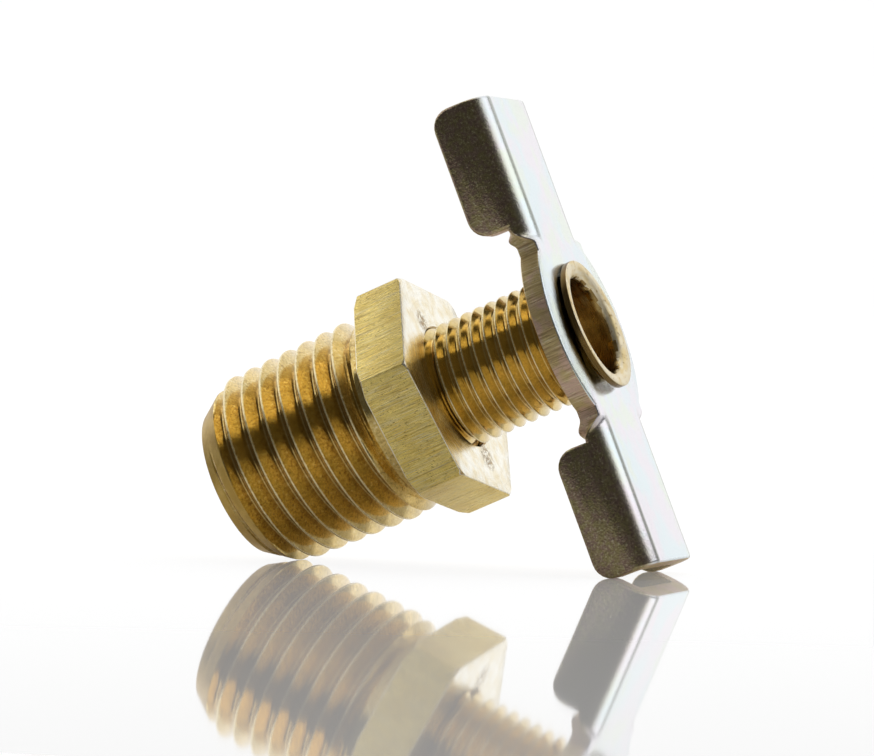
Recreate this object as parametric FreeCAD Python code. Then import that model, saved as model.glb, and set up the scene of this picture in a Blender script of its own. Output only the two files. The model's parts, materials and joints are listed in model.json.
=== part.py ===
"""Drain cock: a pipe-threaded valve body, a hollow screw stem and a folded sheet handle.

Lengths are in millimetres. Every piece is drawn along the common axis first: z runs from the
inlet to the handle, z = 0 is the outlet face of the hex, and x points to the lower wing of the
handle. At the end the pieces are laid on the floor as they come to rest, on the first thread
crest and on two corners of the lower wing, with Z up and the origin under the middle of the box.
The pipe thread's groove is swept up a helix, but its cut takes nothing away: the solid keeps a
plain cone at the crests. The finer thread of the stem is drawn plain, at its crests, by choice.
"""
import FreeCAD
import Part
import math
import os

from FreeCAD import Vector

# Pipe thread, 1/4-18 taper
pipe_crest_d = 13.16
pipe_taper = 1.0 / 16.0
pipe_length = 13.0
nose_face_d = 10.3
nose_angle = 34.0
thread_pitch = 1.411
thread_depth = 1.02
thread_crest_land = 0.10
thread_root_land = 0.12
thread_start = 0.352
groove_overcut = 0.03
groove_stop = 1.25
runout_length = 0.9
runout_depth = 0.75

# Hex
hex_flats = 14.29
hex_length = 3.6
hex_face_d = 13.3
hex_chamfer_angle = 30.0
hex_back_d = 15.4
hex_turn = 17.7

# Passage through the valve body
chamber_d = 8.9
seat_mouth_d = 9.5
seat_half_angle = 30.0
nut_length = 7.5

# Stem
stem_crest_d = 8.4
stem_inner_overhang = 0.4
stem_neck_d = 6.0
drain_bore_d = 4.6
drain_floor = 1.6
drill_point_angle = 118.0
cross_hole_d = 2.8
cross_hole_from_head = 4.6
mouth_bore_depth = 5.0
shank_d = 7.2
shank_wall = 0.45
flare_d = 8.9
flare_bell_r = 0.9

# Handle, folded from one sheet
sheet = 1.4
plate_front = 10.1
hub_d = 14.4
wing_tip = 16.25
wing_start = 7.4
wing_width = 10.2
fold_outer_r = 1.9
flange_depth = 3.9
flange_corner_r = 1.3
neck_width = 9.6
fold_run = 1.5
fold_run_angle = 60.0
handle_lean = 1.87

# Clearances
thread_clearance = 0.05
seat_gap = 0.10
handle_hole_clearance = 0.08
handle_play = 0.20
flare_gap = 0.20

# Places worked out from the sizes
inlet_z = -(hex_length + pipe_length)
plate_back = plate_front - sheet
shoulder_z = plate_back - handle_play
flange_edge = plate_front - flange_depth


def tangent(angle):
    """Tangent of an angle in degrees."""
    return math.tan(math.radians(angle))


def pipe_r(z):
    """Crest radius of the taper thread at height z."""
    return pipe_crest_d / 2 + (z - inlet_z) * pipe_taper / 2


def nose_top_z():
    """Height where the nose chamfer meets the crest cone."""
    rise = tangent(nose_angle)
    return inlet_z + (pipe_crest_d - nose_face_d) / 2 / (rise - pipe_taper / 2)


def revolve(points):
    """Solid of revolution about z of a closed outline of (radius, z) points."""
    corners = [Vector(r, 0, z) for r, z in points]
    face = Part.Face(Part.makePolygon(corners + corners[:1]))
    return face.revolve(Vector(0, 0, 0), Vector(0, 0, 1), 360)


def cylinder(radius, z_low, z_high):
    """Cylinder on the axis between two heights."""
    return Part.makeCylinder(radius, z_high - z_low, Vector(0, 0, z_low))


def hex_prism():
    """Hex with a full chamfer on the outlet side and a light one on the inlet side."""
    corner_r = hex_flats / math.sqrt(3)
    angles = [math.radians(hex_turn + 60 * k) for k in range(6)]
    corners = [Vector(corner_r * math.cos(a), corner_r * math.sin(a), -hex_length) for a in angles]
    prism = Part.Face(Part.makePolygon(corners + corners[:1])).extrude(Vector(0, 0, hex_length))
    rise = tangent(hex_chamfer_angle)
    front_drop = (corner_r - hex_face_d / 2) * rise
    back_rise = (corner_r - hex_back_d / 2) * rise
    turned = revolve([
        (0, 0),
        (hex_face_d / 2, 0),
        (corner_r, -front_drop),
        (corner_r, -hex_length + back_rise),
        (hex_back_d / 2, -hex_length),
        (0, -hex_length),
    ])
    return prism.common(turned)


def flank_run():
    """Length along the axis of one flank of the pipe thread."""
    return (thread_pitch - thread_crest_land - thread_root_land) / 2


def pipe_groove():
    """Cutter of the thread groove: a V swept up a tapered helix, from below the inlet to the runout."""
    low = inlet_z + thread_start - 1.5 * thread_pitch
    height = -hex_length - groove_stop - low
    root_r = pipe_r(low) - thread_depth
    top_r = pipe_r(low) + groove_overcut
    half_root = thread_root_land / 2
    half_top = half_root + flank_run() * (top_r - root_r) / thread_depth
    section = Part.makePolygon([
        Vector(root_r, 0, low - half_root),
        Vector(top_r, 0, low - half_top),
        Vector(top_r, 0, low + half_top),
        Vector(root_r, 0, low + half_root),
        Vector(root_r, 0, low - half_root),
    ])
    path = Part.makeHelix(thread_pitch, height, root_r, math.degrees(math.atan(pipe_taper / 2)))
    path.translate(Vector(0, 0, low))
    return Part.Wire(path.Edges).makePipeShell([section], True, True)


def pipe_end():
    """Tapered end with its chamfered nose and the runout. The groove's cut leaves the cone whole."""
    nose_z = nose_top_z()
    runout_z = -hex_length - runout_length
    runout_r = pipe_r(runout_z) - runout_depth
    blank = revolve([
        (0, inlet_z),
        (nose_face_d / 2, inlet_z),
        (pipe_r(nose_z), nose_z),
        (pipe_r(runout_z - runout_depth), runout_z - runout_depth),
        (runout_r, runout_z),
        (runout_r, -hex_length),
        (0, -hex_length),
    ])
    return blank.cut(pipe_groove())


def body_passage():
    """Space inside the valve body: seat, chamber and thread bore."""
    seat_top = inlet_z + (seat_mouth_d - chamber_d) / 2 / tangent(seat_half_angle)
    nut_r = stem_crest_d / 2 + thread_clearance
    return revolve([
        (0, inlet_z),
        (seat_mouth_d / 2, inlet_z),
        (chamber_d / 2, seat_top),
        (chamber_d / 2, -nut_length),
        (nut_r, -nut_length),
        (nut_r, 0),
        (0, 0),
    ])


def valve_body():
    """Valve body turned from hex bar."""
    return pipe_end().fuse(hex_prism()).removeSplitter().cut(body_passage())


def stem_outline():
    """Outside of the stem up to its shank, as (radius, z) points from the head to the shoulder."""
    slope = tangent(seat_half_angle)
    neck_r = stem_neck_d / 2
    head_r = seat_mouth_d / 2 - seat_gap * slope
    neck_z = inlet_z + (head_r - neck_r) / slope
    crest_r = stem_crest_d / 2
    thread_z = -nut_length - stem_inner_overhang
    return [
        (0, inlet_z),
        (head_r, inlet_z),
        (neck_r, neck_z),
        (neck_r, thread_z),
        (crest_r, thread_z),
        (crest_r, shoulder_z),
        (shank_d / 2, shoulder_z),
    ]


def flared_end():
    """Shank end rolled outwards over the handle, with a bell mouth, as one ring about the axis."""
    outer_r = shank_d / 2
    inner_r = outer_r - shank_wall
    lip_r = flare_d / 2
    under_z = plate_front + flare_gap
    front_z = under_z + shank_wall
    bell_z = front_z - flare_bell_r
    sag = flare_bell_r * math.sqrt(0.5)
    return revolve([
        (inner_r, shoulder_z),
        (outer_r, shoulder_z),
        (outer_r, under_z),
        (lip_r, under_z),
        (lip_r, front_z),
        (inner_r + flare_bell_r, front_z),
        (inner_r + flare_bell_r - sag, bell_z + sag),
        (inner_r, bell_z),
    ])


def drain_passage():
    """Hollow of the stem: drilled bore, wider mouth bore and the cross hole behind the head."""
    bore_r = drain_bore_d / 2
    mouth_r = shank_d / 2 - shank_wall
    floor_z = inlet_z + drain_floor
    point_z = floor_z + bore_r / tangent(drill_point_angle / 2)
    step_z = plate_front - mouth_bore_depth
    bore = revolve([
        (0, floor_z),
        (bore_r, point_z),
        (bore_r, step_z),
        (mouth_r, step_z),
        (mouth_r, shoulder_z),
        (0, shoulder_z),
    ])
    start = Vector(-stem_neck_d, 0, inlet_z + cross_hole_from_head)
    cross = Part.makeCylinder(cross_hole_d / 2, 2 * stem_neck_d, start, Vector(1, 0, 0))
    return bore.fuse(cross)


def stem():
    """Hollow stem: cone head, neck, thread blank and the shank flared over the handle."""
    outline = stem_outline()
    solid = revolve(outline + [(0, outline[-1][1])])
    return solid.cut(drain_passage()).fuse(flared_end()).removeSplitter()


def channel_section(x):
    """Section of a wing across its length at x: a plate with both edges folded back."""
    half = wing_width / 2
    flat = half - fold_outer_r
    bend_z = plate_front - fold_outer_r
    inner_r = fold_outer_r - sheet
    diagonal = math.sqrt(0.5)

    def corner(radius, side):
        start = Vector(x, side * flat, bend_z + radius)
        middle = Vector(x, side * (flat + radius * diagonal), bend_z + radius * diagonal)
        end = Vector(x, side * (flat + radius), bend_z)
        return Part.Arc(start, middle, end).toShape()

    def line(y1, z1, y2, z2):
        return Part.makeLine(Vector(x, y1, z1), Vector(x, y2, z2))

    inside = half - sheet
    edges = [
        line(-flat, plate_front, flat, plate_front),
        line(-flat, plate_back, flat, plate_back),
    ]
    for side in (-1, 1):
        edges += [
            corner(fold_outer_r, side),
            corner(inner_r, side),
            line(side * half, bend_z, side * half, flange_edge),
            line(side * half, flange_edge, side * inside, flange_edge),
            line(side * inside, flange_edge, side * inside, bend_z),
        ]
    return Part.Face(Part.Wire(Part.__sortEdges__(edges)))


def wing():
    """One folded wing along +x, with rounded corners on the free edges of its flanges."""
    solid = channel_section(wing_start).extrude(Vector(wing_tip - wing_start, 0, 0))

    def is_flange_corner(edge):
        box = edge.BoundBox
        return box.ZLength < 1e-6 and box.XLength < 1e-6 and abs(box.ZMin - flange_edge) < 1e-6

    corners = [edge for edge in solid.Edges if is_flange_corner(edge)]
    return solid.makeFillet(flange_corner_r, corners)


def bent_strip(x, angle):
    """Section of a neck across its length at x, with both edges bent back by an angle in degrees."""
    bend = math.radians(angle)
    flat = wing_width / 2 - fold_outer_r
    neutral_r = fold_outer_r - sheet / 2
    tail = neck_width / 2 - flat - neutral_r * bend
    outer_z = plate_front - fold_outer_r

    def at(radius, turn, beyond, side):
        y = flat + radius * math.sin(turn) + beyond * math.cos(turn)
        z = outer_z + radius * math.cos(turn) - beyond * math.sin(turn)
        return Vector(x, side * y, z)

    def curve(radius, side):
        start = at(radius, 0, 0, side)
        if angle == 0:
            end = at(radius, 0, neutral_r * math.radians(fold_run_angle), side)
            return Part.makeLine(start, end)
        return Part.Arc(start, at(radius, bend / 2, 0, side), at(radius, bend, 0, side)).toShape()

    inner_r = fold_outer_r - sheet
    edges = [
        Part.makeLine(at(fold_outer_r, 0, 0, -1), at(fold_outer_r, 0, 0, 1)),
        Part.makeLine(at(inner_r, 0, 0, -1), at(inner_r, 0, 0, 1)),
    ]
    for side in (-1, 1):
        outer = curve(fold_outer_r, side)
        inner = curve(inner_r, side)
        outer_end = at(fold_outer_r, bend, tail, side)
        inner_end = at(inner_r, bend, tail, side)
        edges += [
            outer,
            inner,
            Part.makeLine(outer.Vertexes[-1].Point, outer_end),
            Part.makeLine(inner.Vertexes[-1].Point, inner_end),
            Part.makeLine(outer_end, inner_end),
        ]
    return Part.Wire(Part.__sortEdges__(edges))


def hub():
    """Flat middle of the handle: the round hub and the necks, which start to fold before the wings."""
    disc = cylinder(hub_d / 2, plate_back, plate_front)
    flat_end = wing_start - fold_run
    corner = Vector(-flat_end, -neck_width / 2, plate_back)
    strip = Part.makeBox(2 * flat_end, neck_width, sheet, corner)
    run = Part.makeLoft([bent_strip(flat_end, 0), bent_strip(wing_start, fold_run_angle)], True, True)
    other_run = run.rotated(Vector(0, 0, 0), Vector(0, 0, 1), 180)
    return disc.fuse([strip, run, other_run])


def handle():
    """Handle folded from one sheet, with the hole for the stem's shank, leaning on the stem."""
    lower = wing()
    upper = lower.rotated(Vector(0, 0, 0), Vector(0, 0, 1), 180)
    plate = hub().fuse([lower, upper]).removeSplitter()
    hole_r = shank_d / 2 + handle_hole_clearance
    hole = cylinder(hole_r, plate_back, plate_front)
    return plate.cut(hole).rotated(lean_centre(), Vector(0, 1, 0), handle_lean)


def lean_centre():
    """Point on the axis, in the middle of the sheet, about which the handle leans."""
    return Vector(0, 0, plate_front - sheet / 2)


def leaned(x, z):
    """Place of a point of the square handle after it has leaned."""
    turn = FreeCAD.Rotation(Vector(0, 1, 0), handle_lean)
    return lean_centre() + turn.multVec(Vector(x, 0, z) - lean_centre())


def crest_corner(z):
    """Outlet-side corner (radius, height) of a pipe crest at z, cut back where it is in the nose."""
    edge_z = z + thread_crest_land / 2
    edge_r = pipe_r(edge_z)
    proud = edge_r - nose_face_d / 2 - (edge_z - inlet_z) * tangent(nose_angle)
    back = max(0, proud) / (tangent(nose_angle) + thread_depth / flank_run())
    return edge_r - back * thread_depth / flank_run(), edge_z + back


def lying():
    """Angle in degrees by which the axis rises at rest, and the crest corner that touches the floor."""
    wing = leaned(wing_tip - flange_corner_r, flange_edge + flange_corner_r)

    def tilt(crest):
        dx = wing.x - crest[0]
        dz = wing.z - crest[1]
        return math.degrees(math.atan2(dx, dz) + math.asin(flange_corner_r / math.hypot(dx, dz)))

    crests = [inlet_z + thread_start + thread_pitch * k for k in range(int(pipe_length / thread_pitch))]
    touching = min((crest_corner(z) for z in crests), key=tilt)
    return tilt(touching), touching


def rest_tilt():
    """Angle in degrees by which the axis rises at rest."""
    return lying()[0]


def rest_placement():
    """Placement that lays the part on the floor with the origin under the middle of its box."""
    angle, crest = lying()
    tilt = math.radians(angle)
    height = crest[0] * math.cos(tilt) - crest[1] * math.sin(tilt)
    tip = leaned(wing_tip, plate_front)
    right = tip.x * math.sin(tilt) + tip.z * math.cos(tilt)
    left = inlet_z * math.cos(tilt) - nose_face_d / 2 * math.sin(tilt)
    turn = FreeCAD.Rotation(Vector(0, 1, 0), 90 - angle)
    return FreeCAD.Placement(Vector(-(left + right) / 2, 0, height), turn)


def main():
    os.makedirs("parts", exist_ok=True)
    rest = rest_placement()
    pieces = {"valve_body": valve_body(), "stem": stem(), "handle": handle()}
    for node, shape in pieces.items():
        laid = shape.copy()
        laid.Placement = rest
        laid.exportStep(f"parts/{node}.step")
        print(node, "solids", len(laid.Solids), "volume", round(laid.Volume, 1), "valid", laid.isValid())
    print("rest tilt", round(rest_tilt(), 3), "place", rest.Base)


main()
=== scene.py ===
# %% [markdown]
# A small brass drain cock, the kind that sits at the lowest point of an air tank. It has three pieces: a
# valve body with a taper pipe thread and a hex, a hollow screw stem, and a handle stamped from one sheet.
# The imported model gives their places. The threads, the rolled rim and the finishes are made here.

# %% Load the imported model
import bpy
import bmesh
import json
import math
from mathutils import Matrix, Vector, noise


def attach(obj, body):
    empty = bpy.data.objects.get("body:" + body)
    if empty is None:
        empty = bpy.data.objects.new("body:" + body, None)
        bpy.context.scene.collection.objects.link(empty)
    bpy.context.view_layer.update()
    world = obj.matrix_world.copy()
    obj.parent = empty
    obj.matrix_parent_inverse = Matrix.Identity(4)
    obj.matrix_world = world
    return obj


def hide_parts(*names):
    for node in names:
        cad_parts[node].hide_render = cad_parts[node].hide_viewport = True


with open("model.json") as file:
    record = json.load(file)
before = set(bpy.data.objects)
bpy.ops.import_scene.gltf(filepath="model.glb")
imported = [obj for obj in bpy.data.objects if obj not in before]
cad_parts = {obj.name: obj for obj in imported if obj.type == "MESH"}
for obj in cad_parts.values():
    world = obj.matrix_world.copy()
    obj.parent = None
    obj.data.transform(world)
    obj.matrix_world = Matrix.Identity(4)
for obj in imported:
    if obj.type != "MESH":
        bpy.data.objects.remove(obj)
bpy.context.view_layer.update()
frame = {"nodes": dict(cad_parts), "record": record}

# %% [markdown]
# A turned part is easiest to draw upright, in millimetres, round its own axis. Here z runs from the inlet
# to the handle, z = 0 is the outlet face of the hex, and x points to the lower wing. One matrix then lays
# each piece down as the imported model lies. It comes from the handle's joint, which is on the axis.

# %% Part space
MM = 0.001
PLATE_FRONT = 10.1

joints = {joint["name"]: joint for joint in frame["record"]["behaviour"]["joints"]}
along = Vector(joints["handle_turn"]["axis"]).normalized()
across = Vector((0, 1, 0))
PART_TURN = Matrix((across.cross(along), across, along)).transposed()
PART_ORIGIN = Vector(joints["handle_turn"]["pos_m"]) - along * PLATE_FRONT * MM
PART_TO_ROW = Matrix.Translation(PART_ORIGIN) @ PART_TURN.to_4x4() @ Matrix.Scale(MM, 4)
print("axis rises by", round(math.degrees(math.asin(along.z)), 3), "degrees")

# %% [markdown]
# Three small helpers do most of the turning. The first spins one pitch of a thread outline along the axis,
# as a lathe tool does, and joins the turns. The second cuts a tube off square and finds the open loop. The
# third draws such a loop on to its next place, the way a profile is followed from corner to corner. So a
# thread and the plain parts beside it become one mesh, which is harder to get with a screw modifier.

# %% Turning helpers
MERGE = 1e-4
CUT_TOLERANCE = 1e-5
LOOP_TOLERANCE = 1e-3
FLANK_CUTS = 8
ROOT_START = 0.93
ROOT_OUTER = 0.8
ROOT_INNER = 0.3
CREASE = math.radians(32)


def at_angle(co):
    """Angle of a point round the axis, in radians."""
    return math.atan2(co.y, co.x)


def on_ring(co, radius, z):
    """The same angle round the axis at another radius and height."""
    turn = at_angle(co)
    return Vector((radius * math.cos(turn), radius * math.sin(turn), z))


def thread_outline(pitch, depth, crest, root):
    """One pitch from crest to crest, as (depth below the crest, height) pairs with a rounded root."""
    half = pitch / 2
    return [
        (0, 0),
        (0, crest / 2),
        (depth * ROOT_START, half - root * ROOT_OUTER),
        (depth, half - root * ROOT_INNER),
        (depth, half + root * ROOT_INNER),
        (depth * ROOT_START, half + root * ROOT_OUTER),
        (0, pitch - crest / 2),
        (0, pitch),
    ]


def spin_thread(outline, crest_r, pitch, hand, start, turns, steps):
    """Thread surface: the outline starts at (angle, height) and climbs for a number of turns."""
    bm = bmesh.new()
    angle, low = start
    points = [bm.verts.new((crest_r - drop, 0, low + rise)) for drop, rise in outline]
    edges = [bm.edges.new(pair) for pair in zip(points, points[1:])]
    flanks = [e for e in edges if e.calc_length() > pitch / 4]
    bmesh.ops.subdivide_edges(bm, edges=flanks, cuts=FLANK_CUTS)
    bmesh.ops.rotate(bm, verts=bm.verts, cent=(0, 0, 0), matrix=Matrix.Rotation(angle, 3, "Z"))
    bmesh.ops.spin(bm, geom=bm.verts[:] + bm.edges[:], cent=(0, 0, 0), axis=(0, 0, hand),
                   dvec=(0, 0, pitch / steps), angle=2 * math.pi, steps=steps)
    one_turn = bm.verts[:] + bm.edges[:] + bm.faces[:]
    for turn in range(1, turns):
        copy = bmesh.ops.duplicate(bm, geom=one_turn)["geom"]
        raised = [g for g in copy if isinstance(g, bmesh.types.BMVert)]
        bmesh.ops.translate(bm, verts=raised, vec=(0, 0, pitch * turn))
    bmesh.ops.remove_doubles(bm, verts=bm.verts, dist=MERGE)
    return bm


def cut_square(bm, z, keep):
    """Cut a tube at height z, keep the side above (1) or below (-1), and return its open loop."""
    bmesh.ops.bisect_plane(bm, geom=bm.verts[:] + bm.edges[:] + bm.faces[:], dist=CUT_TOLERANCE,
                           plane_co=(0, 0, z), plane_no=(0, 0, keep), clear_inner=True)
    open_edges = [e for e in bm.edges if e.is_boundary]
    return [e for e in open_edges if all(abs(v.co.z - z) < LOOP_TOLERANCE for v in e.verts)]


def draw_on(bm, loop, place):
    """Extrude an open loop and move its new points; returns the new open loop."""
    made = bmesh.ops.extrude_edge_only(bm, edges=loop)["geom"]
    points = {g for g in made if isinstance(g, bmesh.types.BMVert)}
    for point in points:
        point.co = place(point.co)
    return [g for g in made if isinstance(g, bmesh.types.BMEdge) and all(v in points for v in g.verts)]


def follow(bm, loop, profile):
    """Draw a loop through the (radius, height) corners of a turned profile."""
    for radius, z in profile:
        loop = draw_on(bm, loop, lambda co: on_ring(co, radius, z))
    return loop


def stand_for(bm, name, node):
    """Lay a mesh down as a piece that replaces a node, with creases where it turns sharply."""
    bmesh.ops.recalc_face_normals(bm, faces=bm.faces)
    bm.transform(PART_TO_ROW)
    mesh = bpy.data.meshes.new(name)
    bm.to_mesh(mesh)
    open_edges = sum(e.is_boundary for e in bm.edges)
    bm.free()
    mesh.shade_smooth()
    mesh.set_sharp_from_angle(angle=CREASE)
    piece = bpy.data.objects.new(name, mesh)
    bpy.context.scene.collection.objects.link(piece)
    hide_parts(node)
    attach(piece, node)
    triangles = sum(len(p.vertices) - 2 for p in mesh.polygons)
    print(name, triangles, "triangles,", open_edges, "open edges")
    return piece


# %% [markdown]
# The pipe thread is cut on a cone that widens by 1 in 16. It is spun as a straight thread first. Each point
# is then moved to the cone, and held inside the nose chamfer and the runout beside the hex, where the die
# lifts out of the metal. The grooves end there on a short plain neck.

# %% Pipe thread
PIPE_PITCH = 1.411
PIPE_DEPTH = 1.02
PIPE_CREST = 0.10
PIPE_ROOT = 0.16
PIPE_CREST_HEIGHT = -10.604
PIPE_R = 6.58
PIPE_TAPER = 1 / 32
PIPE_TURNS = 12
TURNS_BELOW = 6
SPIN_R = 7.0
INLET = -16.6
NOSE_R = 5.15
NOSE_SLOPE = math.tan(math.radians(34))
HEX_BACK = -3.6
NECK_Z = -4.5
RUNOUT_DEPTH = 0.75
RUNOUT_SLOPE = 0.45
HEX_TURN = math.radians(17.7)
COLUMNS = 120


def pipe_crest(z):
    """Crest radius of the taper thread."""
    return PIPE_R + (z - INLET) * PIPE_TAPER


def nose(z):
    """Radius of the nose chamfer."""
    return NOSE_R + (z - INLET) * NOSE_SLOPE


NECK_R = pipe_crest(NECK_Z) - RUNOUT_DEPTH
column = 2 * math.pi / COLUMNS
first_angle = HEX_TURN % column
first_crest = PIPE_CREST_HEIGHT + PIPE_PITCH * (first_angle / (2 * math.pi) - TURNS_BELOW)
pipe_outline = thread_outline(PIPE_PITCH, PIPE_DEPTH, PIPE_CREST, PIPE_ROOT)
body = spin_thread(pipe_outline, SPIN_R, PIPE_PITCH, 1, (first_angle, first_crest), PIPE_TURNS, COLUMNS)
for v in body.verts:
    z = v.co.z
    radius = v.co.xy.length
    limit = min(nose(z), NECK_R + max(0, NECK_Z - z))
    lift = NECK_R - max(0, NECK_Z - z) * RUNOUT_SLOPE
    wanted = max(min(pipe_crest(z) - (SPIN_R - radius), limit), min(lift, limit))
    v.co.xy *= wanted / radius
inlet_loop = cut_square(body, INLET, 1)
neck_loop = cut_square(body, HEX_BACK, -1)
print("pipe thread", len(body.faces), "faces, loops of", len(inlet_loop), "and", len(neck_loop))

# %% [markdown]
# From the inlet face one profile leads through the seat, the chamber and the stem's thread, out over the
# hex and back to the neck. The hex is drawn as rings too: its radius and the height of its chamfer follow
# from the angle, which gives the curved edges that a turned chamfer leaves on a hex bar.

# %% Passage and hex
HEX_HALF = 14.29 / 2
OUTLET_CHAMFER = (HEX_HALF / math.cos(math.radians(27)), math.tan(math.radians(42)))
INLET_CHAMFER = (15.4 / 2, math.tan(math.radians(30)))
SEAT_R = 4.75
SEAT_DEPTH = 0.52
CHAMBER_R = 4.45
NUT_R = 4.25
NUT_END = -7.5
MOUTH_BREAK = 0.08
FACE_RINGS = (5.2, 6.0)


def hex_r(co):
    """Radius of the hex bar at a point's angle."""
    off = (at_angle(co) - HEX_TURN) % (math.pi / 3) - math.pi / 6
    return HEX_HALF / math.cos(off)


def corner_drop(co, chamfer):
    """How far a turned chamfer, given by its radius and slope, cuts a hex corner back along the axis."""
    return max(0, hex_r(co) - chamfer[0]) * chamfer[1]


passage = [
    (SEAT_R, INLET),
    (CHAMBER_R, INLET + SEAT_DEPTH),
    (CHAMBER_R, NUT_END),
    (NUT_R, NUT_END),
    (NUT_R, -MOUTH_BREAK),
    (NUT_R + MOUTH_BREAK, 0),
]
passage += [(ring, 0) for ring in FACE_RINGS]
loop = follow(body, inlet_loop, passage)
loop = draw_on(body, loop, lambda co: on_ring(co, min(hex_r(co), OUTLET_CHAMFER[0]), 0))
loop = draw_on(body, loop, lambda co: on_ring(co, hex_r(co), -corner_drop(co, OUTLET_CHAMFER)))
loop = draw_on(body, loop, lambda co: on_ring(co, hex_r(co), HEX_BACK + corner_drop(co, INLET_CHAMFER)))
loop = draw_on(body, loop, lambda co: on_ring(co, min(hex_r(co), INLET_CHAMFER[0]), HEX_BACK))
loop = follow(body, loop, [(NECK_R + 0.1, HEX_BACK)])
bmesh.ops.bridge_loops(body, edges=loop + neck_loop)
bmesh.ops.remove_doubles(body, verts=body.verts, dist=MERGE)
bmesh.ops.recalc_face_normals(body, faces=body.faces)
print("body with passage and hex", len(body.faces), "faces")

# %% [markdown]
# No real edge is knife sharp, so the hex gets a small bevel that catches the light. The faces are then sorted
# by where they lie and which way they look, because each way of machining leaves its own finish.

# %% Hex edges and finish slots
HEX_ROUND = 0.07
HEX_SHARP = math.radians(12)
NOSE_TOP = -14.2
NOSE_SLACK = 0.03
NEAR = 0.01
STEEP = 0.3
NOSE_SLOT, FLATS_SLOT, FACES_SLOT = 1, 2, 3


def is_hex_edge(edge):
    """True on the hex's sharp outer edges."""
    far = min(v.co.xy.length for v in edge.verts) > HEX_HALF - NEAR
    high = min(v.co.z for v in edge.verts) > HEX_BACK - NEAR
    return far and high and edge.calc_face_angle(0) > HEX_SHARP


hex_edges = [e for e in body.edges if is_hex_edge(e)]
bmesh.ops.bevel(body, geom=hex_edges, offset=HEX_ROUND, segments=2, profile=0.5, affect="EDGES",
                material=-1)
bmesh.ops.recalc_face_normals(body, faces=body.faces)
body.normal_update()
for face in body.faces:
    middle = face.calc_center_median()
    radius = middle.xy.length
    in_nose = middle.z < NOSE_TOP and radius > nose(middle.z) - NOSE_SLACK
    if HEX_BACK - NEAR < middle.z < NEAR and radius > NECK_R + 2 * NEAR:
        face.material_index = FLATS_SLOT if abs(face.normal.z) < STEEP else FACES_SLOT
    elif middle.z > -NEAR and radius > NUT_R - 5 * NEAR:
        face.material_index = FACES_SLOT
    elif in_nose or middle.z < INLET + NEAR:
        face.material_index = NOSE_SLOT
valve_body = stand_for(body, "valve_body_brass", "valve_body")

# %% [markdown]
# The stem moves by a finer thread of its own. It is left-handed, so its spin turns the other way while it
# climbs. The same helper makes it, and two square cuts leave a loop at each end to go on from.

# %% Stem thread
STEM_PITCH = 0.907
STEM_DEPTH = 0.56
STEM_CREST = 0.07
STEM_ROOT = 0.10
STEM_CREST_HEIGHT = 4.922
STEM_CREST_R = 4.2
STEM_TURNS = 22
STEM_TURNS_BELOW = 16
SHOULDER = 8.5
STEM_END = -7.9

first_crest = STEM_CREST_HEIGHT - STEM_PITCH * STEM_TURNS_BELOW
stem_outline = thread_outline(STEM_PITCH, STEM_DEPTH, STEM_CREST, STEM_ROOT)
stem = spin_thread(stem_outline, STEM_CREST_R, STEM_PITCH, -1, (0, first_crest), STEM_TURNS, COLUMNS)
inner_loop = cut_square(stem, STEM_END, 1)
outer_loop = cut_square(stem, SHOULDER, -1)
print("stem thread", len(stem.faces), "faces, loops of", len(inner_loop), "and", len(outer_loop))

# %% [markdown]
# The stem's outer end is a thin shank rolled over the handle. The roll is drawn as arcs: the bend under the
# lip, the lip's two small edges, and the bell that leads into the mouth. Rolling tears the mouth's inner
# edge, so noise makes that ring wander. Inside follow the wide mouth bore and the drain bore.

# %% Rolled rim and bores
SHANK_R = 3.6
ROLL = (3.95, 9.95, 0.35)
LIP_LOW_EDGE = (4.39, 10.37, 0.06)
LIP_HIGH_EDGE = (4.39, 10.69, 0.06)
BELL = (4.10, 10.0, 0.75)
MOUTH_R = 3.40
MOUTH_Z = 10.22
TEAR_R = 0.10
TEAR_Z = 0.26
BROAD_SCALE = 1.1
NARROW_SCALE = 2.8
NARROW_SHARE = 0.7
NARROW_LAYER = 5
MOUTH_BORE_END = 5.1
MOUTH_BORE = [(3.42, 9.85), (3.30, 9.0), (3.15, MOUTH_BORE_END)]
DRAIN_R = 2.3
STEM_NECK_R = 3.0
BRIDGE_Z = -8.2


def quarter(centre_r, centre_z, radius, start, sweep, count):
    """Points of an arc in a turned profile, angles in degrees from outwards towards the handle."""
    angles = [math.radians(start + sweep * k / count) for k in range(count + 1)]
    return [(centre_r + radius * math.cos(a), centre_z + radius * math.sin(a)) for a in angles]


rim = [(SHANK_R, SHOULDER)]
rim += quarter(*ROLL, 180, -85, 5)
rim += quarter(*LIP_LOW_EDGE, -90, 90, 3)
rim += quarter(*LIP_HIGH_EDGE, 0, 90, 3)
rim += quarter(*BELL, 90, 56, 7)
mouth_loop = follow(stem, outer_loop, rim)


def ragged(co):
    """Torn inner edge of the bell: its radius and height wander round the mouth."""
    broad = noise.noise(Vector((co.x, co.y, 0)) * BROAD_SCALE)
    narrow = noise.noise(Vector((co.x, co.y, NARROW_LAYER)) * NARROW_SCALE)
    wander = broad + NARROW_SHARE * narrow
    return on_ring(co, MOUTH_R - TEAR_R * wander, MOUTH_Z + TEAR_Z * wander)


mouth_loop = draw_on(stem, mouth_loop, ragged)
follow(stem, mouth_loop, MOUTH_BORE + [(DRAIN_R, MOUTH_BORE_END), (DRAIN_R, BRIDGE_Z)])
follow(stem, inner_loop, [(STEM_NECK_R, STEM_END), (STEM_NECK_R, BRIDGE_Z)])
print("stem with rim and bores", len(stem.faces), "faces")

# %% [markdown]
# The stem's inner end shows only when the valve opens: a cone head, a neck and a cross hole. The packed
# solid has them already, so drawing them again would only risk a difference. A copy of its mesh is merged,
# cut off below the thread and bridged to the new thread.

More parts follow.
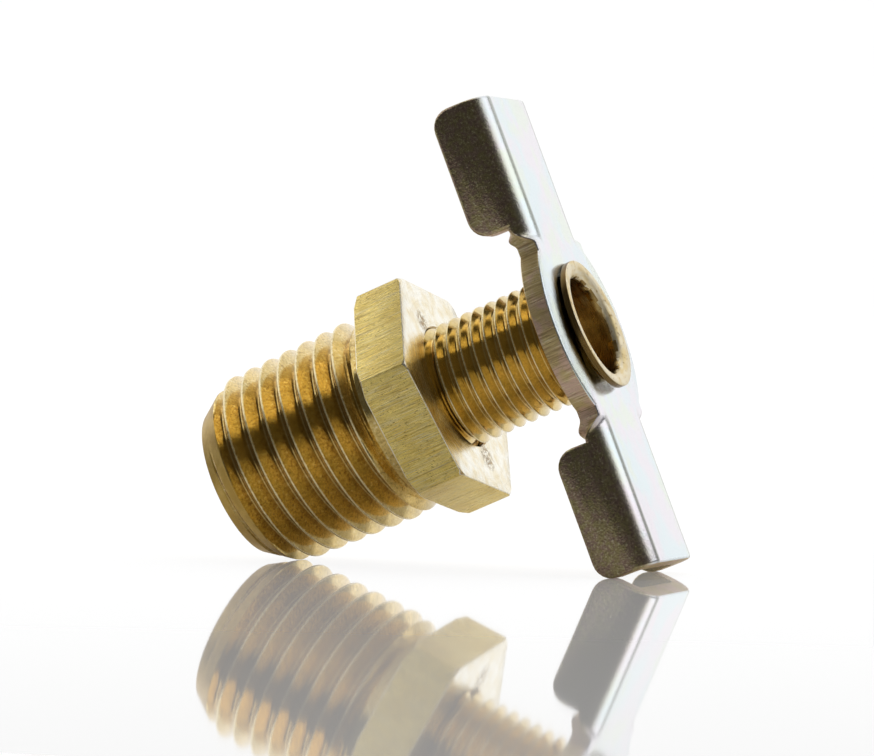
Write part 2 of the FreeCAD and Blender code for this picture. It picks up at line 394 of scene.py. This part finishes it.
# %% Stem head
HEAD_CUT = -8.4
HEAD_MERGE = 1e-3
LIP_UNDER = 10.0
MID_WALL_R = 2.65
RIM_SLOT, BORE_AND_SHADE_SLOT = 1, 2
head = bmesh.new()
head.from_mesh(frame["nodes"]["stem"].data)
head.transform(PART_TO_ROW.inverted())
bmesh.ops.remove_doubles(head, verts=head.verts, dist=HEAD_MERGE)
cut_square(head, HEAD_CUT, -1)
head_mesh = bpy.data.meshes.new("stem_head")
head.to_mesh(head_mesh)
head.free()
stem.from_mesh(head_mesh)
bpy.data.meshes.remove(head_mesh)
open_edges = [e for e in stem.edges if e.is_boundary]
for inside in (True, False):
    pair = [e for e in open_edges if (e.verts[0].co.xy.length < MID_WALL_R) == inside]
    bmesh.ops.bridge_loops(stem, edges=pair)
bmesh.ops.recalc_face_normals(stem, faces=stem.faces)
stem.normal_update()
# The bore takes the bore finish, and so do the rim's underside and outer wall, where it is painted shade of
# the gap under the lip.
for face in stem.faces:
    middle = face.calc_center_median()
    in_bore = middle.xy.length < MOUTH_R and middle.z > STEM_END
    if in_bore or (middle.z > LIP_UNDER and face.normal.z < STEEP):
        face.material_index = BORE_AND_SHADE_SLOT
    elif middle.z > LIP_UNDER:
        face.material_index = RIM_SLOT
stem_piece = stand_for(stem, "stem_brass", "stem")

# %% [markdown]
# The handle starts as a quarter of the flat blank: a face with two arcs, its corners rounded by a vertex
# bevel. Two mirrors complete it. It gets its thickness and its sheared edges while it is flat, as the real
# sheet does in the press, and is folded only after that.

# %% Handle blank
SHEET = 1.4
HUB_R = 7.2
HOLE_R = 3.68
WING_START = 7.4
WING_TIP = 16.25
NECK_HALF = 4.8
FLAT_HALF = 3.2
FOLD_R = 1.9
NEUTRAL_R = FOLD_R - SHEET / 2
FLANGE_TAIL = 2.0
FLANGE_CORNER = 1.3
HUB_STEPS = 14
HOLE_STEPS = 16
FLAT_ANGLE = 0.001
BLANK_HALF = FLAT_HALF + NEUTRAL_R * math.pi / 2 + FLANGE_TAIL

blank = bmesh.new()


def arc_points(bm, start, angle, steps):
    """Points of an arc round the hole, drawn by spinning one vertex."""
    first = bm.verts.new(start)
    bmesh.ops.spin(bm, geom=[first], cent=(0, 0, 0), axis=(0, 0, -1), angle=angle, steps=steps)
    fresh = [v for v in bm.verts if abs(v.co.length - Vector(start).length) < MERGE]
    return sorted(fresh, key=lambda v: -v.co.y)


hub_end = math.acos(NECK_HALF / HUB_R)
hub_arc = arc_points(blank, (0, HUB_R, 0), hub_end, HUB_STEPS)
hole_arc = arc_points(blank, (0, HOLE_R, 0), math.pi / 2, HOLE_STEPS)
corners = [(WING_START, NECK_HALF), (WING_START, BLANK_HALF), (WING_TIP, BLANK_HALF), (WING_TIP, 0)]
corner_verts = [blank.verts.new((x, y, 0)) for x, y in corners]
blank.faces.new(hub_arc + corner_verts + hole_arc[::-1])
for corner in corner_verts[1:3]:
    bmesh.ops.bevel(blank, geom=[corner], offset=FLANGE_CORNER, segments=6, profile=0.5, affect="VERTICES",
                    material=-1)
for axis in ("X", "Y"):
    bmesh.ops.mirror(blank, geom=blank.verts[:] + blank.edges[:] + blank.faces[:],
                     matrix=Matrix.Identity(4), merge_dist=MERGE, axis=axis)
seams = [e for e in blank.edges if not e.is_boundary and abs(e.verts[0].co.x) > 1]
bmesh.ops.dissolve_limit(blank, angle_limit=FLAT_ANGLE, use_dissolve_boundaries=False, verts=[], edges=seams)
back = bmesh.ops.extrude_face_region(blank, geom=blank.faces[:])["geom"]
back_verts = [g for g in back if isinstance(g, bmesh.types.BMVert)]
bmesh.ops.translate(blank, verts=back_verts, vec=(0, 0, -SHEET))
bmesh.ops.recalc_face_normals(blank, faces=blank.faces)
print("flat blank", len(blank.faces), "faces")

# %% [markdown]
# Shearing rounds the edge on the side where the punch enters and leaves a sharp burr on the other. Two
# bevels of different width show that, and they catch the light along the outline of the handle.

# %% Sheared edges
PUNCH_EDGE = 0.22
BURR_EDGE = 0.06


def sheared(z):
    """Edges of the blank at one of its two faces."""
    at_z = [e for e in blank.edges if all(abs(v.co.z - z) < MERGE for v in e.verts)]
    return [e for e in at_z if e.calc_face_angle(0) > 1]


for z, width, segments in ((0, PUNCH_EDGE, 3), (-SHEET, BURR_EDGE, 1)):
    bmesh.ops.bevel(blank, geom=sheared(z), offset=width, segments=segments, profile=0.5, affect="EDGES",
                    material=-1)
print("blank with sheared edges", len(blank.faces), "faces")

# %% [markdown]
# Cuts along the bend lines let the blank fold like sheet. Each point keeps its distance along the middle of
# the sheet and goes round the bend, so the outside stretches and the inside shrinks. The bend starts in the
# necks and is square along the wings. At last the handle leans a little on its stem, as the real one does.

# %% Fold the handle
FOLD_FROM = 5.9
FOLD_TO = 7.6
FOLD_CUTS = 10
EDGE_NORMAL = 0.5
LEAN = math.radians(1.87)


def fold_angle(x):
    """How far the sheet may be bent back at x: flat at the hub, square along the wings."""
    share = min(max((abs(x) - FOLD_FROM) / (FOLD_TO - FOLD_FROM), 0), 1)
    return math.pi / 2 * share * share * (3 - 2 * share)


def folded(co):
    """Place of a point of the flat blank in the folded sheet."""
    side = math.copysign(1, co.y)
    run = max(0, abs(co.y) - FLAT_HALF)
    bend = min(run / NEUTRAL_R, fold_angle(co.x))
    beyond = run - bend * NEUTRAL_R
    radius = FOLD_R + co.z
    y = min(abs(co.y), FLAT_HALF) + radius * math.sin(bend) + beyond * math.cos(bend)
    z = PLATE_FRONT - FOLD_R + radius * math.cos(bend) - beyond * math.sin(bend)
    return Vector((co.x, side * y, z))


bend_lines = [FLAT_HALF + NEUTRAL_R * math.pi / 2 * k / FOLD_CUTS for k in range(FOLD_CUTS + 1)]
fold_lines = [FOLD_FROM + (FOLD_TO - FOLD_FROM) * k / FOLD_CUTS for k in range(FOLD_CUTS + 1)]
cuts = [((0, y, 0), (0, 1, 0)) for y in bend_lines] + [((x, 0, 0), (1, 0, 0)) for x in fold_lines]
for place, normal in cuts:
    for side in (1, -1):
        bmesh.ops.bisect_plane(blank, geom=blank.verts[:] + blank.edges[:] + blank.faces[:],
                               dist=CUT_TOLERANCE, plane_co=Vector(place) * side, plane_no=normal)
for face in blank.faces:
    face.material_index = int(abs(face.normal.z) < EDGE_NORMAL)
for v in blank.verts:
    v.co = folded(v.co)
lean_centre = Vector((0, 0, PLATE_FRONT - SHEET / 2))
bmesh.ops.rotate(blank, verts=blank.verts, cent=lean_centre, matrix=Matrix.Rotation(LEAN, 3, "Y"))
handle = stand_for(blank, "handle_sheet", "handle")

# %% [markdown]
# The finishes are worked out in part space too: a Mapping node of type Texture undoes the matrix that laid
# the part down. The distance from the axis and the height then say where a point lies on the turned part,
# so tarnish can sit in the grooves, turning marks can run round, and drawing marks can run along the hex.

# %% Finish helpers
class Finish:
    """A metal finish: a principled shader, with short ways to add the nodes that vary it."""

    def __init__(self, name, rough):
        self.material = bpy.data.materials.new(name)
        self.material.use_nodes = True
        self.tree = self.material.node_tree
        self.shader = self.tree.nodes["Principled BSDF"]
        self.shader.inputs["Metallic"].default_value = 1
        self.shader.inputs["Roughness"].default_value = rough
        coordinates = self.node("ShaderNodeTexCoord")
        mapping = self.node("ShaderNodeMapping", vector_type="TEXTURE")
        mapping.inputs["Location"].default_value = PART_ORIGIN
        mapping.inputs["Rotation"].default_value = PART_TURN.to_euler()
        mapping.inputs["Scale"].default_value = (MM, MM, MM)
        self.link(coordinates.outputs["Object"], mapping.inputs["Vector"])
        self.place = mapping.outputs["Vector"]
        parts = self.node("ShaderNodeSeparateXYZ")
        self.link(self.place, parts.inputs[0])
        self.x, self.y, self.z = parts.outputs

    def node(self, kind, **settings):
        made = self.tree.nodes.new(kind)
        for name, value in settings.items():
            setattr(made, name, value)
        return made

    def link(self, source, target):
        self.tree.links.new(source, target)

    def feed(self, socket, value):
        if hasattr(value, "is_output"):
            self.link(value, socket)
        else:
            socket.default_value = value

    def sum(self, operation, *values):
        """A math node on numbers or sockets."""
        made = self.node("ShaderNodeMath", operation=operation)
        for socket, value in zip(made.inputs, values):
            self.feed(socket, value)
        return made.outputs[0]

    def ramp(self, value, low, high, start=0.0, end=1.0):
        """Ease from start to end while a value goes from low to high."""
        made = self.node("ShaderNodeMapRange", interpolation_type="SMOOTHSTEP")
        for socket, given in zip(made.inputs, (value, low, high, start, end)):
            self.feed(socket, given)
        return made.outputs[0]

    def length(self, *sides):
        """Length of a line from its two sides."""
        squares = [self.sum("MULTIPLY", side, side) for side in sides]
        return self.sum("SQRT", self.sum("ADD", *squares))

    def radius(self):
        """Distance from the axis."""
        return self.length(self.x, self.y)

    def away(self, x, y):
        """Distance from a place on the end face."""
        return self.length(self.sum("SUBTRACT", self.x, x), self.sum("SUBTRACT", self.y, y))

    def angle(self):
        """Angle round the axis."""
        return self.sum("ARCTAN2", self.y, self.x)

    def vector(self, x, y, z):
        made = self.node("ShaderNodeCombineXYZ")
        for socket, value in zip(made.inputs, (x, y, z)):
            self.feed(socket, value)
        return made.outputs[0]

    def grain(self, scale, detail=3.0, stretch=(1, 1, 1), place=None, rough=0.55):
        """Noise in part millimetres, stretched by a scale for each axis."""
        stretched = self.node("ShaderNodeVectorMath", operation="MULTIPLY")
        self.link(place or self.place, stretched.inputs[0])
        stretched.inputs[1].default_value = stretch
        made = self.node("ShaderNodeTexNoise")
        made.inputs["Scale"].default_value = scale
        made.inputs["Detail"].default_value = detail
        made.inputs["Roughness"].default_value = rough
        self.link(stretched.outputs[0], made.inputs["Vector"])
        return made.outputs["Fac"]

    def blend(self, share, first, second):
        """Mix two colours, each a triple or a socket."""
        made = self.node("ShaderNodeMix", data_type="RGBA", clamp_factor=True)
        self.feed(made.inputs[0], share)
        for socket, value in zip(made.inputs[6:8], (first, second)):
            self.feed(socket, value if hasattr(value, "is_output") else (*value, 1))
        return made.outputs[2]

    def finish(self, colour, rough=None, height=None, depth=0.01, strength=1.0):
        """Plug in colour, roughness and a bump whose depth is in millimetres."""
        self.link(colour, self.shader.inputs["Base Color"])
        if rough is not None:
            self.link(rough, self.shader.inputs["Roughness"])
        if height is not None:
            bump = self.node("ShaderNodeBump")
            bump.inputs["Strength"].default_value = strength
            bump.inputs["Distance"].default_value = depth * MM
            self.link(height, bump.inputs["Height"])
            self.link(bump.outputs[0], self.shader.inputs["Normal"])
        print("finish", self.material.name, len(self.tree.nodes), "nodes")
        return self.material


BRASS = (0.83, 0.60, 0.19)
OLIVE_BRASS = (0.68, 0.50, 0.15)
TARNISH = (0.36, 0.21, 0.05)
# Pale brass for worn flecks and crests; on the crests it is partly a painted highlight.
WORN_BRASS_AND_HIGHLIGHT = (1.0, 0.88, 0.56)

# %% [markdown]
# A cut thread shines on its flanks, darkens in its roots where cutting oil dries, and is pale along its
# crests, which is partly wear and partly a painted highlight. How deep a point lies below the crest cone says
# which of the three it is. Fine lines from the cutting tool run round the axis: a noise that is stretched
# along the angle and squeezed along the height.

# %% Thread finishes
def thread_finish(name, crest_r, taper, depth, rough, tarnish, grit):
    """Finish of a cut thread whose crest radius at z = 0 and growth along z are given."""
    f = Finish(name, rough)
    f.shader.inputs["Coat Weight"].default_value = 0.6
    f.shader.inputs["Coat Roughness"].default_value = 0.10
    crest = f.sum("ADD", f.sum("MULTIPLY", f.z, taper), crest_r)
    below = f.sum("DIVIDE", f.sum("SUBTRACT", crest, f.radius()), depth)
    blotch = f.grain(0.55, 4)
    speckle = f.grain(5.5, 5, rough=0.7)
    deep = f.ramp(f.sum("ADD", below, f.sum("MULTIPLY", speckle, 0.5)), 0.80, 1.40)
    crest_wear_and_highlight = f.ramp(f.sum("ADD", below, f.sum("MULTIPLY", speckle, 0.30)), 0.13, 0.24, 1.0, 0.0)
    lines = f.grain(1.0, 2, (1.5, 1.0, 20.0), f.vector(f.angle(), 0, f.z))
    colour = f.blend(f.ramp(blotch, 0.42, 0.66), BRASS, OLIVE_BRASS)
    colour = f.blend(f.ramp(speckle, 0.52, 0.62, 0, grit), colour, TARNISH)
    colour = f.blend(f.ramp(speckle, 0.44, 0.36, 0, grit), colour, WORN_BRASS_AND_HIGHLIGHT)
    colour = f.blend(f.sum("MULTIPLY", deep, tarnish), colour, TARNISH)
    # Crests painted pale: partly wear, partly a painted highlight.
    colour = f.blend(f.sum("MULTIPLY", crest_wear_and_highlight, 0.85), colour, WORN_BRASS_AND_HIGHLIGHT)
    roughness = f.sum("ADD", f.ramp(speckle, 0.40, 0.75, rough, rough + 0.12), f.sum("MULTIPLY", crest_wear_and_highlight, 0.2))
    height = f.sum("ADD", f.sum("MULTIPLY", lines, 0.8), f.sum("MULTIPLY", speckle, 0.6))
    return f.finish(colour, roughness, height, 0.012, 0.4)


pipe_at_zero = PIPE_R - INLET * PIPE_TAPER
pipe_finish = thread_finish("cut_pipe_thread", pipe_at_zero, PIPE_TAPER, PIPE_DEPTH, 0.11, 0.60, 0.65)
stem_finish = thread_finish("cut_stem_thread", STEM_CREST_R, 0.0, STEM_DEPTH, 0.07, 0.25, 0.30)

# %% [markdown]
# The other brass surfaces each keep the mark of how they were made. The nose is matt and pitted. The hex
# flats come from drawn bar, so their streaks run along the axis: a noise squeezed across and drawn out along.

# %% Nose and hex finishes
def nose_finish():
    f = Finish("matt_nose", 0.36)
    patch = f.grain(0.9, 3)
    pits = f.grain(9.0, 3)
    colour = f.blend(f.ramp(patch, 0.35, 0.65), (0.44, 0.28, 0.06), (0.56, 0.38, 0.10))
    colour = f.blend(f.ramp(pits, 0.56, 0.70, 0, 0.6), colour, TARNISH)
    return f.finish(colour, f.ramp(pits, 0.3, 0.7, 0.42, 0.30), pits, 0.03, 0.6)


def drawn_finish():
    f = Finish("drawn_hex_flats", 0.30)
    streaks = f.grain(1.0, 3, (12.0, 12.0, 0.22), rough=0.75)
    fine = f.grain(1.0, 2, (30.0, 30.0, 0.5))
    pits = f.grain(8.0, 4)
    patch = f.grain(0.5, 3)
    colour = f.blend(f.ramp(patch, 0.38, 0.65), (1.0, 0.78, 0.24), (0.92, 0.69, 0.19))
    colour = f.blend(f.ramp(streaks, 0.55, 0.68, 0, 0.7), colour, TARNISH)
    colour = f.blend(f.ramp(fine, 0.52, 0.64, 0, 0.65), colour, (1.0, 0.90, 0.56))
    colour = f.blend(f.ramp(pits, 0.61, 0.70, 0, 0.85), colour, TARNISH)
    rough = f.ramp(streaks, 0.3, 0.7, 0.20, 0.38)
    height = f.sum("ADD", f.sum("MULTIPLY", streaks, 0.8), f.sum("MULTIPLY", fine, 0.6))
    return f.finish(colour, rough, f.sum("SUBTRACT", height, f.ramp(pits, 0.60, 0.72, 0, 0.6)), 0.05, 0.8)


nose_metal = nose_finish()
drawn_metal = drawn_finish()

# %% [markdown]
# The lathe leaves rings on the faces, and two torn spots where the tool caught. The roller has burnished the
# rim pale. The bore is dark brown, partly the drilled brass and partly painted shade in the deep hole, with
# rings from the drill. It is darkest under the lip, which is painted shade of the gap over the handle.

# %% Face, rim and bore finishes
TORN_SPOTS = ((5.1, 0.5, 1.2), (-4.7, -1.6, 1.0))


def turned_finish():
    f = Finish("turned_faces", 0.22)
    rings = f.grain(1.0, 2, (14.0, 0.4, 0.5), f.vector(f.radius(), f.angle(), 0))
    patch = f.grain(0.8, 3)
    scratch = f.grain(1.0, 3, (1.0, 9.0, 1.0))
    colour = f.blend(f.ramp(patch, 0.35, 0.7), (1.0, 0.97, 0.86), (0.90, 0.79, 0.54))
    colour = f.blend(f.ramp(scratch, 0.58, 0.70, 0, 0.6), colour, OLIVE_BRASS)
    torn = f.grain(3.2, 4, rough=0.7)
    spots = [f.ramp(f.away(x, y), size, 0.3 * size) for x, y, size in TORN_SPOTS]
    burr = f.sum("MULTIPLY", f.sum("MAXIMUM", *spots), f.ramp(torn, 0.46, 0.58))
    colour = f.blend(f.sum("MULTIPLY", burr, 0.85), colour, TARNISH)
    height = f.sum("ADD", f.sum("ADD", rings, scratch), f.sum("MULTIPLY", burr, -4))
    return f.finish(colour, f.ramp(rings, 0.3, 0.7, 0.14, 0.30), height, 0.015, 0.5)


def rim_finish():
    f = Finish("rolled_rim", 0.25)
    smear = f.grain(1.0, 3, (3.0, 1.2, 6.0), f.vector(f.angle(), f.radius(), f.z))
    flecks = f.grain(4.0, 3)
    colour = f.blend(f.ramp(smear, 0.4, 0.65), (0.94, 0.84, 0.62), (0.86, 0.70, 0.38))
    colour = f.blend(f.ramp(flecks, 0.60, 0.70, 0, 0.6), colour, TARNISH)
    return f.finish(colour, f.ramp(flecks, 0.3, 0.7, 0.36, 0.52), f.sum("ADD", smear, flecks), 0.05, 0.6)


def bore_and_shade_finish():
    f = Finish("drilled_bore_and_painted_shade", 0.36)
    rings = f.grain(1.0, 3, (1.5, 1.0, 12.0), f.vector(f.angle(), 0, f.z))
    patch = f.grain(1.1, 4)
    # The bore's dark browns are partly the drilled brass and partly painted shade in the deep hole.
    colour = f.blend(f.ramp(patch, 0.38, 0.64), (0.50, 0.35, 0.13), (0.33, 0.22, 0.08))
    # Painted shade: darkest at the rim's radius, under the lip.
    colour = f.blend(f.ramp(f.radius(), 3.7, 4.1), colour, (0.22, 0.13, 0.04))
    return f.finish(colour, f.ramp(rings, 0.3, 0.7, 0.22, 0.36), rings, 0.012, 0.4)


turned_metal = turned_finish()
rim_metal = rim_finish()
bore_and_shade_metal = bore_and_shade_finish()

# %% [markdown]
# The handle is sheet steel with a thin zinc coat. Such a coat is passivated, and the film's thickness
# wanders, so it shimmers between pale pink, green and blue. Two slow noises choose the hue, and a fine one
# dulls it. The back of the sheet, seen inside the folds, is olive-gold: partly the coat's yellow tint and
# partly a painted warm reflection. The flanges are painted as a darker olive copy of the same zinc, which is
# painted shade, with flecks. The sheared edges are browner and show the striations that the punch left
# through the thickness.

# %% Sheet finishes
def sheet_finish():
    f = Finish("zinc_sheet", 0.18)
    hue = f.grain(0.20, 3)
    other = f.grain(0.26, 3, place=f.vector(f.y, f.z, f.x))
    fine = f.grain(4.5, 5, rough=0.7)
    on_wing = f.ramp(f.sum("ABSOLUTE", f.x), 5.6, 7.2)
    flange = f.sum("MULTIPLY", f.ramp(f.sum("ABSOLUTE", f.y), 4.0, 4.8), on_wing)
    pale = f.blend(f.ramp(hue, 0.40, 0.58), (0.86, 0.82, 0.87), (0.77, 0.86, 0.89))
    pale = f.blend(f.ramp(other, 0.47, 0.62, 0, 0.85), pale, (0.81, 0.87, 0.77))
    pale = f.blend(f.ramp(fine, 0.55, 0.70, 0, 0.5), pale, (0.97, 0.93, 0.96))
    # The back of the sheet is tinted olive-gold: partly the coat's yellow tint, partly a painted warm
    # reflection inside the folds.
    inside = f.ramp(f.z, PLATE_FRONT - SHEET - 0.1, PLATE_FRONT - SHEET * 0.4, 1.0, 0.0)
    pale = f.blend(inside, pale, (0.78, 0.62, 0.34))
    mottle = f.grain(1.6, 4, rough=0.7)
    flecks = f.grain(6.5, 3, rough=0.7)
    # Painted shade: the flanges get a darker olive copy of the zinc, with dark and pale flecks.
    shaded_olive = f.blend(f.ramp(mottle, 0.40, 0.60), (0.38, 0.27, 0.20), (0.40, 0.34, 0.16))
    shaded_olive = f.blend(f.ramp(flecks, 0.47, 0.36, 0, 0.6), shaded_olive, (0.20, 0.13, 0.10))
    shaded_olive = f.blend(f.ramp(flecks, 0.54, 0.66, 0, 0.6), shaded_olive, (0.86, 0.80, 0.54))
    off_bend = f.sum("ABSOLUTE", f.sum("SUBTRACT", f.sum("ABSOLUTE", f.y), FLAT_HALF + 0.30))
    die_line = f.sum("MULTIPLY", f.ramp(off_bend, 0.10, 0.32, 0.7, 0.0), on_wing)
    colour = f.blend(die_line, f.blend(flange, pale, shaded_olive), (0.36, 0.38, 0.32))
    rough = f.sum("ADD", f.ramp(fine, 0.35, 0.7, 0.06, 0.14), f.sum("MULTIPLY", flange, 0.14))
    return f.finish(colour, rough, f.sum("ADD", fine, flecks), 0.02, 0.6)


def sheared_finish():
    f = Finish("sheared_edge", 0.40)
    f.shader.inputs["Metallic"].default_value = 0.6
    across_sheet = f.grain(1.0, 3, (7.0, 7.0, 0.30), rough=0.7)
    fine = f.grain(8.0, 3)
    patch = f.grain(0.55, 2)
    colour = f.blend(f.ramp(patch, 0.40, 0.58), (0.80, 0.56, 0.42), (0.72, 0.56, 0.26))
    colour = f.blend(f.ramp(across_sheet, 0.50, 0.38, 0, 0.7), colour, (0.42, 0.27, 0.13))
    colour = f.blend(f.ramp(across_sheet, 0.58, 0.66, 0, 0.8), colour, (1.0, 0.88, 0.58))
    colour = f.blend(f.ramp(fine, 0.58, 0.72, 0, 0.6), colour, (0.42, 0.34, 0.20))
    return f.finish(colour, f.ramp(fine, 0.3, 0.7, 0.30, 0.46), across_sheet, 0.08, 0.8)


for piece, finishes in (
    (valve_body, [pipe_finish, nose_metal, drawn_metal, turned_metal]),
    (stem_piece, [stem_finish, rim_metal, bore_and_shade_metal]),
    (handle, [sheet_finish(), sheared_finish()]),
):
    for finish in finishes:
        piece.data.materials.append(finish)

# %% [markdown]
# The part lies on a glossy white sheet. The floor is a plain white principled surface, so it keeps the
# part's shadow and mirrors it. A small glow lifts it towards white for the camera, and less for rays that
# come off a mirror, but it lights nothing else.

# %% Floor
FLOOR_FRONT = -0.125
FLOOR_REACH = 3.0
FLOOR_WHITE = 0.92
FLOOR_ROUGH = 0.03
FLOOR_GLOW = 0.16
MIRROR_SHARE = 0.7
floor_outline = bmesh.new()
for x, y in ((-1, FLOOR_FRONT), (1, FLOOR_FRONT), (1, FLOOR_REACH), (-1, FLOOR_REACH)):
    floor_outline.verts.new((x * FLOOR_REACH, y, 0))
floor_outline.faces.new(floor_outline.verts)
floor_mesh = bpy.data.meshes.new("floor")
floor_outline.to_mesh(floor_mesh)
floor = bpy.data.objects.new("floor", floor_mesh)
bpy.context.scene.collection.objects.link(floor)
gloss = bpy.data.materials.new("glossy_white_floor")
gloss.use_nodes = True
nodes, links = gloss.node_tree.nodes, gloss.node_tree.links
surface = nodes["Principled BSDF"]
surface.inputs["Base Color"].default_value = (FLOOR_WHITE, FLOOR_WHITE, FLOOR_WHITE, 1)
surface.inputs["Roughness"].default_value = FLOOR_ROUGH
surface.inputs["IOR"].default_value = 1.5
surface.inputs["Coat Weight"].default_value = 0.35
surface.inputs["Coat Roughness"].default_value = FLOOR_ROUGH
path = nodes.new("ShaderNodeLightPath")
glow = nodes.new("ShaderNodeMath")
glow.operation = "MULTIPLY"
glow.inputs[1].default_value = FLOOR_GLOW
seen = nodes.new("ShaderNodeMath")
seen.operation = "MULTIPLY_ADD"
links.new(path.outputs["Is Glossy Ray"], seen.inputs[0])
seen.inputs[1].default_value = MIRROR_SHARE
links.new(path.outputs["Is Camera Ray"], seen.inputs[2])
links.new(seen.outputs[0], glow.inputs[0])
surface.inputs["Emission Color"].default_value = (1, 1, 1, 1)
links.new(glow.outputs[0], surface.inputs["Emission Strength"])
floor.data.materials.append(gloss)
print("floor from", FLOOR_FRONT, "to", FLOOR_REACH, "m")

# %% [markdown]
# Metal shows little but what surrounds it, so the studio matters as much as the finish. The world is white
# behind, dimmer above and nearly dark in front, with a dim gap beside the right panel that gives the curved
# faces their dark side. The camera itself sees plain white.

# %% Studio world
GAP_ANGLE = math.radians(56)
ROOM_LIGHT = 0.09


def studio_world():
    """White behind, dimmer above, dark in front and beside the right panel; plain white to the camera."""
    world = bpy.data.worlds.new("studio")
    world.use_nodes = True
    tree = world.node_tree
    background = tree.nodes["Background"]
    background.inputs["Color"].default_value = (1, 1, 1, 1)

    def math_node(operation, *values):
        made = tree.nodes.new("ShaderNodeMath")
        made.operation = operation
        for socket, value in zip(made.inputs, values):
            if hasattr(value, "is_output"):
                tree.links.new(value, socket)
            else:
                socket.default_value = value
        return made.outputs[0]

    def ease(value, low, high, start, end):
        made = tree.nodes.new("ShaderNodeMapRange")
        made.interpolation_type = "SMOOTHSTEP"
        tree.links.new(value, made.inputs[0])
        for socket, number in zip(made.inputs[1:], (low, high, start, end)):
            socket.default_value = number
        return made.outputs[0]

    where = tree.nodes.new("ShaderNodeTexCoord")
    parts = tree.nodes.new("ShaderNodeSeparateXYZ")
    tree.links.new(where.outputs["Generated"], parts.inputs[0])
    behind = ease(parts.outputs[1], 0.10, 0.36, 0.0, 0.92)
    lower = ease(parts.outputs[2], 0.60, 0.78, 1.0, 0.65)
    turned = math_node("SUBTRACT", math_node("MULTIPLY", parts.outputs[1], math.cos(GAP_ANGLE)),
                       math_node("MULTIPLY", parts.outputs[0], math.sin(GAP_ANGLE)))
    backdrop = ease(turned, -0.04, 0.10, 0.10, 1.0)
    white = math_node("MULTIPLY", math_node("MULTIPLY", behind, lower), backdrop)
    light = math_node("ADD", white, ROOM_LIGHT)
    seen = tree.nodes.new("ShaderNodeLightPath").outputs["Is Camera Ray"]
    tree.links.new(math_node("MAXIMUM", light, seen), background.inputs["Strength"])
    return world


bpy.context.scene.world = studio_world()
bpy.context.scene.view_settings.view_transform = "Standard"
print("studio world", len(bpy.context.scene.world.node_tree.nodes), "nodes")

# %% [markdown]
# Three soft panels, right, left and above, draw the bright bands on the threads and the fold. Their power
# follows from a radiance near one, so a colour renders about as it is written.

# %% Studio panels
PANEL_DISTANCE = 0.6


def panel(name, azimuth, elevation, size, radiance):
    """A soft rectangular lamp that faces the part from a direction, in degrees."""
    lamp = bpy.data.lights.new(name, "AREA")
    lamp.shape = "RECTANGLE"
    lamp.size, lamp.size_y = size
    lamp.energy = radiance * math.pi * size[0] * size[1]
    holder = bpy.data.objects.new(name, lamp)
    a, e = math.radians(azimuth), math.radians(elevation)
    towards = Vector((math.cos(e) * math.cos(a), math.cos(e) * math.sin(a), math.sin(e)))
    holder.location = towards * PANEL_DISTANCE
    holder.rotation_euler = towards.to_track_quat("Z", "Y").to_euler()
    holder.visible_camera = False
    bpy.context.scene.collection.objects.link(holder)
    print(name, round(lamp.energy, 2), "W")


panel("right_panel", 24, 36, (0.48, 0.52), 0.95)
panel("left_panel", 188, 37, (0.42, 0.36), 0.95)
panel("top_panel", 100, 74, (0.50, 0.40), 0.60)

# %% [markdown]
# A long lens from about 30 cm keeps the perspective of a small product shot. The focal length is given in
# pixels of the picture's width, as it comes out of a camera fit, and is turned into millimetres here.

# %% Camera
CAMERA_PLACE = Vector((102.100, -287.091, 18.409)) * MM
CAMERA_TURN = [math.radians(a) for a in (88.8806, -1.3700, 19.6865)]
FOCAL_PIXELS = 4600
IMAGE_WIDTH = 874
SENSOR_WIDTH = 36
lens = bpy.data.cameras.new("camera")
lens.sensor_width = SENSOR_WIDTH
lens.lens = FOCAL_PIXELS * lens.sensor_width / IMAGE_WIDTH
lens.clip_start = 0.01
lens.clip_end = 20
camera = bpy.data.objects.new("camera", lens)
camera.location = CAMERA_PLACE
camera.rotation_euler = CAMERA_TURN
bpy.context.scene.collection.objects.link(camera)
bpy.context.scene.camera = camera
print("lens", round(lens.lens, 2), "mm")
